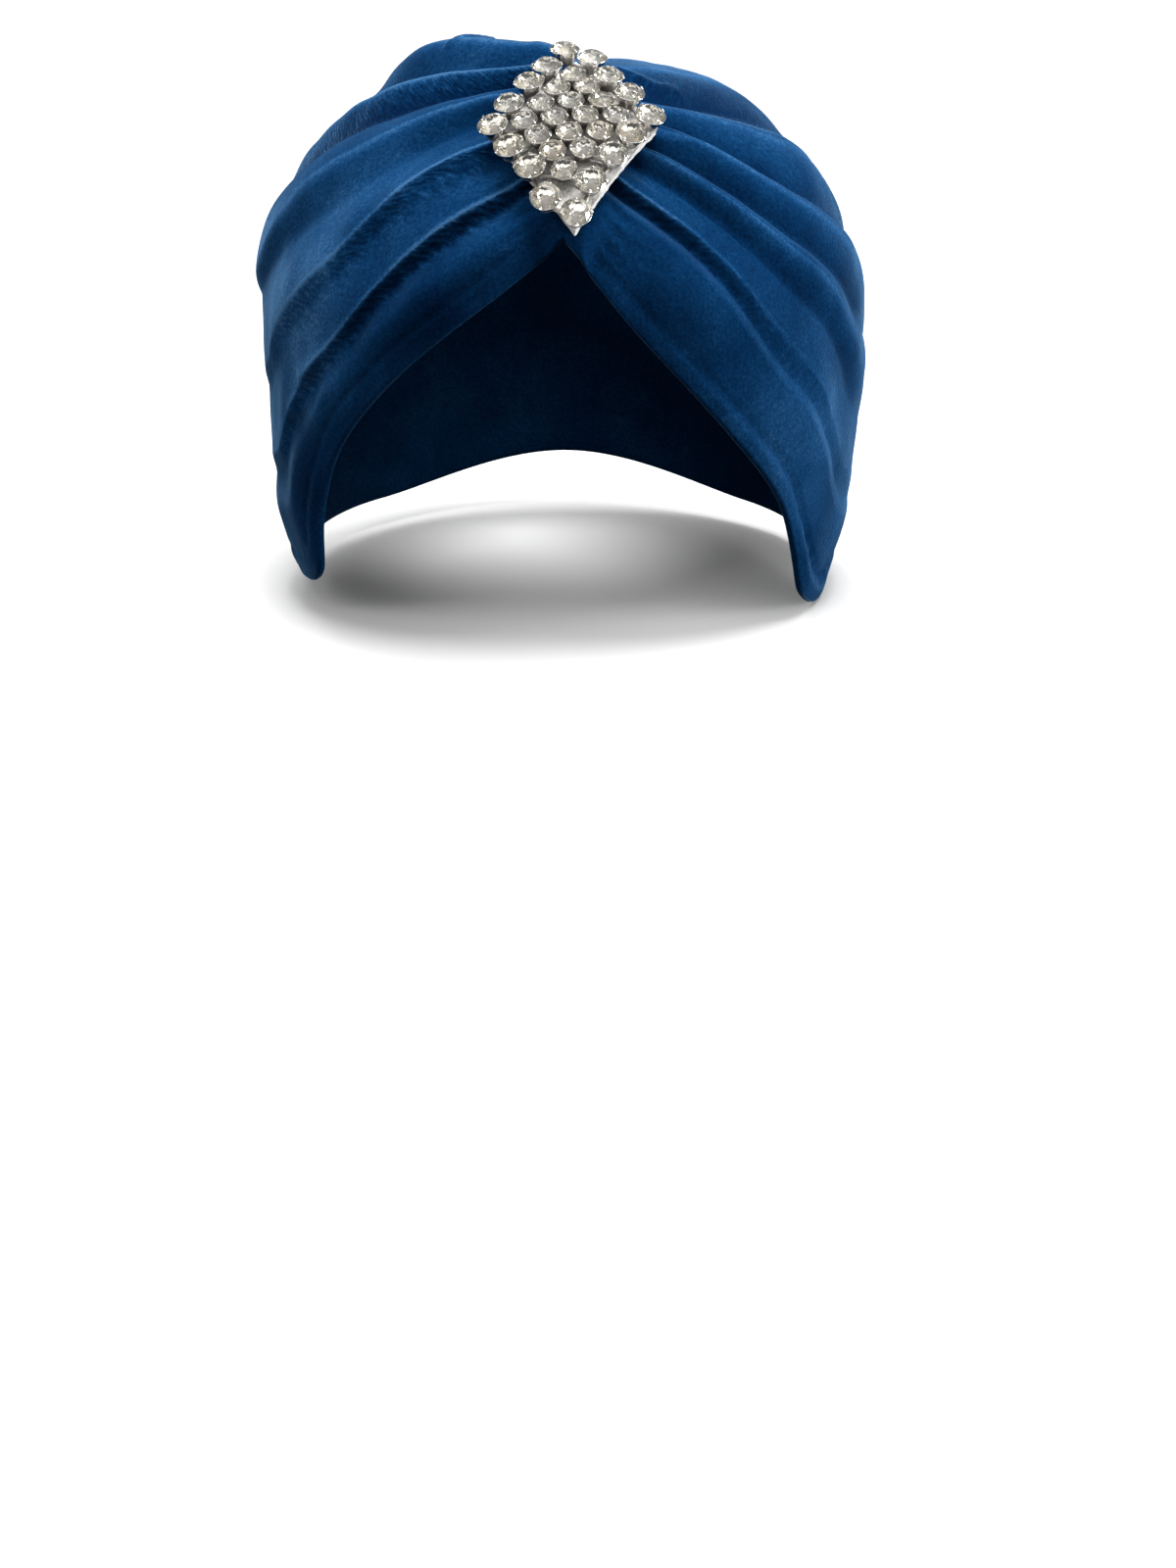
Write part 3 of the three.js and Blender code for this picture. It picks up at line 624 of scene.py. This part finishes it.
def claw_rings(radius, turn):
    """Rings of a claw, flat and round-edged, at a turn round its cup."""
    path = np.array(CLAW_PATH)
    run = np.gradient(path[:, :2], axis=0)
    run /= np.linalg.norm(run, axis=1, keepdims=True)
    ahead = np.array([math.cos(turn), math.sin(turn), 0])
    side = np.array([-math.sin(turn), math.cos(turn), 0])
    up = np.array([0, 0, 1.0])
    rings = []
    for (out, high, half), (run_out, run_up) in zip(path, run):
        middle = ahead * (radius + out) + up * high
        across = ahead * run_up - up * run_out
        thick = min(half, CLAW_THICK / 2)
        rings.append([
            middle + side * half * math.cos(t) + across * thick * math.sin(t)
            for t in np.linspace(0, 2 * np.pi, CLAW_SIDES, endpoint=False)
        ])
    return rings


def link_rings(start, end, out):
    """Rings of a bar between the feet of two cups."""
    along = (end - start) / np.linalg.norm(end - start)
    side = np.cross(out, along)
    section = [
        side * LINK["wide"] / 2 * math.cos(t) + out * LINK["thick"] / 2 * math.sin(t)
        for t in np.linspace(0, 2 * np.pi, LINK["sides"], endpoint=False)
    ]
    return [[place + corner for corner in section] for place in (start, end)]


def setting(name, stones, spins):
    """Cups, claws and the bars that link them, as one soldered piece."""
    whole = bmesh.new()
    for stone, spin in zip(stones, spins):
        one = bmesh.new()
        loft(one, cup_rings(stone["radius"], stone["back"]))
        for claw in range(CLAWS):
            loft(one, claw_rings(stone["radius"], 2 * math.pi * claw / CLAWS))
        one.transform(standing(stone, spin))
        made = bpy.data.meshes.new("cup")
        one.to_mesh(made)
        one.free()
        whole.from_mesh(made)
        bpy.data.meshes.remove(made)
    feet = [stone["middle"] - stone["out"] * (stone["back"] + LINK["below"]) for stone in stones]
    for i, one in enumerate(stones):
        for j, other in enumerate(stones[:i]):
            if np.linalg.norm(feet[i] - feet[j]) < LINK["reach"] * (one["radius"] + other["radius"]):
                loft(whole, np.array(link_rings(feet[i], feet[j], one["out"])) * MM)
    bmesh.ops.recalc_face_normals(whole, faces=whole.faces)
    piece = new_piece(name, whole)
    piece.data.shade_smooth()
    piece.data.set_sharp_from_angle(angle=SETTING_SHARP)
    return piece


def roughen(node, form):
    """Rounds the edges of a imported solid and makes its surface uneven, by modifiers."""
    edge = node.modifiers.new("edge", "BEVEL")
    edge.width = form["round"]
    edge.segments = form["segments"]
    edge.limit_method = "ANGLE"
    fine = node.modifiers.new("fine", "SUBSURF")
    fine.subdivision_type = "SIMPLE"
    fine.levels = form["levels"]
    fine.render_levels = form["levels"]
    texture = bpy.data.textures.new("felt_lumps", "CLOUDS")
    texture.noise_scale = form["lump"]
    texture.noise_depth = form["detail"]
    lumps = node.modifiers.new("lumps", "DISPLACE")
    lumps.texture = texture
    lumps.texture_coords = "LOCAL"
    lumps.strength = form["deep"]
    lumps.mid_level = 0.5


# Materials

# Each noise has a scale per metre, and a pair of numbers is the start and end of a span. tone: how much a
# part sets the tone. strokes: how much they show where the pile isn't brushed and where it is.
VELVET = {
    "patches": {"scale": 60, "detail": 3, "roughness": 0.55},
    "grain": {"scale": 1200, "detail": 3, "roughness": 0.7},
    "strokes": (0.15, 2.6),
    # Brushing darkens the tone below ridges as painted shade, and the crests, valleys and patches add
    # painted light and shade
    "tone": {"patches": 1.1, "grain": 1.5, "painted_shading": 0.7, "brushed_and_shaded": -0.18},
    "tone_span": (0.7, 2.2),
    "bump": {"Strength": 0.5, "Distance": 0.0004},
}
# Light blotches fade out between these places up the brooch, in metres. The painted shade between the stones
# ends at the edge, between these shares of the brooch.
FELT = {
    "fibres": {"scale": 2200, "detail": 4, "roughness": 0.7},
    "blotches": {"scale": 300, "detail": 2},
    "fade": (-0.012, -0.002),
    "fade_tone": (0.5, 0.0),
    "edge": (0.86, 0.93),
    "tone": {"fibres": 0.35},
    "bump": {"Strength": 0.8, "Distance": 0.0005},
}
# Painted shade darkens the plate down between the cups and ends between these heights above the backing's
# underside, in metres
SILVER = {
    "wear": {"scale": 420, "detail": 3},
    "scratches": {"scale": 2400, "detail": 2},
    "painted_shade_ends": (0.0034, 0.0052),
    "tone": {"wear": 0.3},
    "roughness": (0.42, 0.14),
    "bump": {"Strength": 0.15, "Distance": 0.0002},
}
CLOUDING = {"scale": 650, "detail": 3}
UNIT = (0.0, 1.0)
# Middle of a noise's values
NOISE_MIDDLE = 0.5


def material(name):
    made = bpy.data.materials.new(name)
    made.use_nodes = True
    return made, made.node_tree, made.node_tree.nodes["Principled BSDF"]


def add(tree, kind, inputs=(), **settings):
    """New node with its settings and the values or links of its inputs."""
    node = tree.nodes.new("ShaderNode" + kind)
    for name, value in settings.items():
        setattr(node, name, value)
    feed(tree, node, inputs)
    return node


def feed(tree, node, inputs):
    for name, value in dict(inputs).items():
        if isinstance(value, bpy.types.NodeSocket):
            tree.links.new(value, node.inputs[name])
        else:
            node.inputs[name].default_value = value


def ramp(tree, value, stops):
    """Colours along a value: pairs of position and colour."""
    node = add(tree, "ValToRGB", {"Fac": value})
    while len(node.color_ramp.elements) < len(stops):
        node.color_ramp.elements.new(0.5)
    for element, (position, colour) in zip(node.color_ramp.elements, stops):
        element.position = position
        element.color = (*colour, 1)
    return node.outputs["Color"]


def noise(tree, place, scale=1.0, detail=2.0, roughness=0.5):
    node = add(tree, "TexNoise", {
        "Vector": place, "Scale": scale, "Detail": detail, "Roughness": roughness,
    })
    return node.outputs["Fac"]


def calc(tree, operation, *values):
    return add(tree, "Math", dict(enumerate(values)), operation=operation).outputs[0]


def mapped(tree, value, start=UNIT, end=UNIT):
    """Value taken from one span to another, and held at its ends."""
    node = add(tree, "MapRange", {
        "Value": value, "From Min": start[0], "From Max": start[1], "To Min": end[0], "To Max": end[1],
    })
    return node.outputs["Result"]


def attribute(tree, name):
    return add(tree, "Attribute", attribute_name=name).outputs["Fac"]


def bump(tree, height, settings, **more):
    return add(tree, "Bump", {"Height": height, **settings, **more}).outputs["Normal"]


def velvet_material():
    """Velvet pile with patches, grain and brushed strokes, with painted highlights along crests, painted
    shade below ridges and in valleys, and patches of painted light and shade.
    """
    made, tree, shader = material("velvet_pile")
    place = add(tree, "TexCoord").outputs
    mirrored = add(tree, "VectorMath", {0: place["UV"]}, operation="ABSOLUTE").outputs["Vector"]
    combed = add(tree, "Mapping", {
        "Vector": mirrored,
        "Rotation": (0, 0, STROKE["climbs"]),
        "Scale": (STROKE["long"], STROKE["wide"], 1),
    }, vector_type="TEXTURE").outputs["Vector"]
    brushed_and_shaded = attribute(tree, "brushed_and_shaded")
    strokes = calc(tree, "SUBTRACT", noise(tree, combed), NOISE_MIDDLE)
    streaks = calc(tree, "MULTIPLY", strokes, mapped(tree, brushed_and_shaded, end=VELVET["strokes"]))
    grain = noise(tree, place["Object"], **VELVET["grain"])
    parts = {
        "patches": noise(tree, place["Object"], **VELVET["patches"]),
        "grain": grain,
        "painted_shading": attribute(tree, "painted_shading"),
        "brushed_and_shaded": brushed_and_shaded,
    }
    tone = streaks
    for name, part in parts.items():
        tone = calc(tree, "MULTIPLY_ADD", part, VELVET["tone"][name], tone)
    # The lowest stops carry the painted shade, and the top stop the painted highlight and painted light
    # patches
    colour = ramp(tree, mapped(tree, tone, VELVET["tone_span"]), [
        (0.0, (0.0005, 0.0055, 0.021)),
        (0.4, (0.0012, 0.0138, 0.044)),
        (0.7, (0.004, 0.026, 0.073)),
        (1.0, (0.018, 0.055, 0.118)),
    ])
    fine = bump(tree, grain, VELVET["bump"])
    feed(tree, shader, {
        "Base Color": colour,
        "Roughness": 0.8,
        "Specular IOR Level": 0.0,
        "Sheen Weight": 0.32,
        "Sheen Roughness": 0.28,
        "Sheen Tint": (0.2, 0.42, 0.7, 1),
        "Normal": bump(tree, streaks, VELVET["bump"], Normal=fine),
    })
    return made


def brooch_place(tree):
    """The shaded point, its height above the backing's underside, its share as brooch_share gives it, and
    how far up the brooch it lies."""
    point = add(tree, "TexCoord").outputs["Object"]
    centre = tuple(brooch_centre() * MM)
    apart = add(tree, "VectorMath", {0: point, 1: centre}, operation="SUBTRACT").outputs["Vector"]
    x, y, z = add(tree, "SeparateXYZ", {0: apart}).outputs
    level = calc(tree, "SQRT", calc(tree, "ADD", calc(tree, "MULTIPLY", y, y), calc(tree, "MULTIPLY", z, z)))
    bend = calc(tree, "DIVIDE", calc(tree, "MULTIPLY", x, x), 2 * BROOCH["bend_wide"] * MM)
    height = calc(tree, "SUBTRACT", calc(tree, "ADD", level, bend), BROOCH["bend_long"] * MM)
    across = calc(tree, "SUBTRACT", x, BACKING_RIGHT * MM)
    turned = calc(tree, "ARCTAN2", z, calc(tree, "MULTIPLY", y, -1.0))
    climb = calc(tree, "SUBTRACT", turned, BROOCH["facing"])
    along = calc(tree, "MULTIPLY", climb, BROOCH["bend_long"] * MM)
    skewed = calc(tree, "SUBTRACT", along, calc(tree, "MULTIPLY", across, DIAMOND["skew"]))
    wide = BACKING_SIDE * math.sin(DIAMOND["half_angle"]) * MM
    long = BACKING_SIDE * math.cos(DIAMOND["half_angle"]) * MM
    share_across = calc(tree, "DIVIDE", calc(tree, "ABSOLUTE", across), wide)
    share_along = calc(tree, "DIVIDE", calc(tree, "ABSOLUTE", skewed), long)
    return point, height, calc(tree, "ADD", share_across, share_along), along


def felt_material():
    """White felt with painted shade between the stones, light blotches low down, and no painted shade at
    its edge.
    """
    made, tree, shader = material("white_felt")
    place, _, share, along = brooch_place(tree)
    fibres = noise(tree, place, **FELT["fibres"])
    blotches = noise(tree, place, **FELT["blotches"])
    light_low = calc(tree, "MULTIPLY", blotches, mapped(tree, along, FELT["fade"], FELT["fade_tone"]))
    out_of_painted_shade = calc(tree, "MAXIMUM", mapped(tree, share, FELT["edge"]), light_low)
    rough = calc(tree, "SUBTRACT", fibres, NOISE_MIDDLE)
    tone = calc(tree, "MULTIPLY_ADD", rough, FELT["tone"]["fibres"], out_of_painted_shade)
    # Low on the ramp is the painted shade between the stones
    colour = ramp(tree, tone, [
        (0.0, (0.36, 0.345, 0.32)),
        (0.3, (0.46, 0.45, 0.425)),
        (0.75, (0.5, 0.495, 0.48)),
        (1.0, (0.46, 0.455, 0.44)),
    ])
    feed(tree, shader, {
        "Base Color": colour,
        "Roughness": 0.8,
        "Specular IOR Level": 0.2,
        "Sheen Weight": 0.2,
        "Normal": bump(tree, fibres, FELT["bump"]),
    })
    return made


def silver_material():
    """Silver plate, bright on the claws and rims, and darker with painted shade and rougher down between
    the cups.
    """
    made, tree, shader = material("silver_plate")
    place, height, _, _ = brooch_place(tree)
    wear = noise(tree, place, **SILVER["wear"])
    scratches = noise(tree, place, **SILVER["scratches"])
    tone = calc(tree, "MULTIPLY_ADD", wear, SILVER["tone"]["wear"], mapped(tree, height, SILVER["painted_shade_ends"]))
    # Low on the ramp is the painted shade between the cups
    colour = ramp(tree, tone, [
        (0.2, (0.36, 0.345, 0.32)),
        (0.75, (0.52, 0.5, 0.47)),
        (1.0, (0.78, 0.76, 0.72)),
    ])
    feed(tree, shader, {
        "Base Color": colour,
        "Metallic": 1.0,
        "Roughness": mapped(tree, tone, end=SILVER["roughness"]),
        "Normal": bump(tree, scratches, SILVER["bump"]),
    })
    return made


def stone_material():
    """Clear glass with a silvered back, in whites that differ a little from stone to stone."""
    made, tree, glass = material("cut_glass")
    place = add(tree, "TexCoord").outputs["Object"]
    chance = add(tree, "ObjectInfo").outputs["Random"]
    tint = ramp(tree, chance, [
        (0.2, (0.95, 0.95, 0.95)),
        (0.6, (0.97, 0.95, 0.91)),
        (1.0, (0.97, 0.92, 0.84)),
    ])
    feed(tree, glass, {"Base Color": tint, "Roughness": 0.02, "IOR": 1.56, "Transmission Weight": 1.0})
    mirror = ramp(tree, noise(tree, place, **CLOUDING), [
        (0.3, (0.52, 0.5, 0.43)),
        (0.65, (0.95, 0.93, 0.87)),
    ])
    foil = add(tree, "BsdfPrincipled", {"Base Color": mirror, "Metallic": 1.0, "Roughness": 0.06})
    back = attribute(tree, "silvered")
    mixed = add(tree, "MixShader", {0: back, 1: glass.outputs["BSDF"], 2: foil.outputs["BSDF"]})
    tree.links.new(mixed.outputs["Shader"], tree.nodes["Material Output"].inputs["Surface"])
    return made


def dress(node, made):
    for slot in node.material_slots:
        slot.material = made


# Pieces

velvet = ring_mesh("velvet_cloth", *velvet_points())
velvet.data.materials.append(velvet_material())
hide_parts("velvet_band")
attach(velvet, "root")

backing = frame["nodes"]["brooch_backing"]
roughen(backing, FELT_FORM)
dress(backing, felt_material())

stones = seated_stones()
draw = np.random.default_rng(STONE_SEED)
spins = draw.uniform(0, 2 * np.pi, len(stones))
cups = setting("claw_cups", stones, spins)
cups.data.materials.append(silver_material())
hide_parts("claw_setting")
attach(cups, "root")

cut_glass = stone_material()
for stone in stones:
    lean = math.radians(draw.uniform(-STONE_LEAN, STONE_LEAN))
    piece = cut_stone(stone["node"].replace("stone", "cut_stone"), stone, lean, draw.uniform(0, 2 * np.pi))
    piece.data.materials.append(cut_glass)
    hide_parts(stone["node"])
    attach(piece, "root")

# Studio, in metres

FLOOR_SIZE = 2000.0
FLOOR_CLEAR = 0.0005
# Greys of the surroundings along their span, from below to overhead, which leans to the right by this share
SURROUNDINGS = [(0.0, 0.12), (0.23, 0.2), (0.5, 0.33), (0.8, 0.85)]
SURROUNDINGS_LEAN = 0.3
SURROUNDINGS_SPAN = (-0.3, 1.0)
SURROUNDINGS_STRENGTH = 1.5
# The photograph's camera, with its angles in degrees and its focal length in pixels of the photograph
CAMERA = {"eye": (0, -0.6, 0.072), "down": 19.588, "right": 0.624, "focal_px": 2254.87, "sensor": 36}
MIDDLE = (0, 0, 0)
# reflected: whether the stones and the setting mirror the light
LIGHTS = [
    {"name": "key", "kind": "SUN", "at": (0.12, -0.1, 1.2), "to": MIDDLE, "energy": 7.8, "reflected": False,
     "angle": math.radians(30)},
    {"name": "left", "kind": "AREA", "at": (-0.8, -0.3, 0.4), "to": MIDDLE, "energy": 6, "reflected": False,
     "size": 0.5},
    {"name": "behind", "kind": "AREA", "at": (-0.2, 0.55, 0.75), "to": (0, 0, 0.02), "energy": 12,
     "reflected": False, "size": 0.5},
    {"name": "right", "kind": "AREA", "at": (0.85, -0.2, 0.0), "to": MIDDLE, "energy": 24, "reflected": True,
     "size": 0.5},
    {"name": "glint", "kind": "AREA", "at": (-0.35, -0.5, 0.6), "to": (0, -0.07, 0.04), "energy": 0.6,
     "reflected": True, "size": 0.06},
]


def floor():
    """Plain pale floor below the part, which takes its shadow and throws no soft light back."""
    level = cad_box[0][2] - FLOOR_CLEAR
    reach = FLOOR_SIZE / 2
    mesh = bpy.data.meshes.new("floor")
    corners = [(x * reach, y * reach, level) for x, y in ((-1, -1), (1, -1), (1, 1), (-1, 1))]
    mesh.from_pydata(corners, [], [(0, 1, 2, 3)])
    made, tree, shader = material("pale_floor")
    feed(tree, shader, {"Base Color": (0.35, 0.35, 0.35, 1), "Roughness": 0.9, "Specular IOR Level": 0.1})
    mesh.materials.append(made)
    piece = bpy.data.objects.new("floor", mesh)
    bpy.context.collection.objects.link(piece)
    piece.visible_diffuse = False


def aim(thing, place, target):
    thing.location = place
    thing.rotation_euler = (Vector(target) - Vector(place)).to_track_quat("-Z", "Y").to_euler()


def light(name, kind, at, to, energy, reflected, **settings):
    data = bpy.data.lights.new(name, kind)
    data.energy = energy
    for key, value in settings.items():
        setattr(data, key, value)
    lamp = bpy.data.objects.new(name, data)
    bpy.context.collection.objects.link(lamp)
    aim(lamp, at, to)
    lamp.visible_glossy = reflected
    lamp.visible_transmission = reflected


def world():
    """Soft surrounding light, bright overhead and darker below, in front of a white backdrop."""
    made = bpy.data.worlds.new("studio")
    made.use_nodes = True
    tree = made.node_tree
    way = add(tree, "SeparateXYZ", {0: add(tree, "TexCoord").outputs["Generated"]}).outputs
    leaning = calc(tree, "MULTIPLY_ADD", way["X"], SURROUNDINGS_LEAN, way["Z"])
    stops = [(position, (grey, grey, grey)) for position, grey in SURROUNDINGS]
    colour = ramp(tree, mapped(tree, leaning, SURROUNDINGS_SPAN), stops)
    in_view = add(tree, "LightPath").outputs["Is Camera Ray"]
    backdrop = {"Factor": in_view, "A": colour, "B": (1, 1, 1, 1)}
    shown = add(tree, "Mix", backdrop, data_type="RGBA").outputs["Result"]
    feed(tree, tree.nodes["Background"], {"Color": shown, "Strength": SURROUNDINGS_STRENGTH})
    bpy.context.scene.world = made


def camera():
    data = bpy.data.cameras.new("camera")
    data.sensor_width = CAMERA["sensor"]
    data.lens = CAMERA["focal_px"] * data.sensor_width / PHOTO_HEIGHT_PX
    data.clip_end = FLOOR_SIZE
    eye = bpy.data.objects.new("camera", data)
    bpy.context.collection.objects.link(eye)
    pitch, yaw = math.radians(CAMERA["down"]), math.radians(CAMERA["right"])
    place = Vector(CAMERA["eye"])
    ahead = Vector((math.sin(yaw) * math.cos(pitch), math.cos(yaw) * math.cos(pitch), -math.sin(pitch)))
    aim(eye, place, place + ahead)
    bpy.context.scene.camera = eye


floor()
world()
camera()
for row in LIGHTS:
    light(**row)
bpy.context.scene.view_settings.view_transform = "Standard"
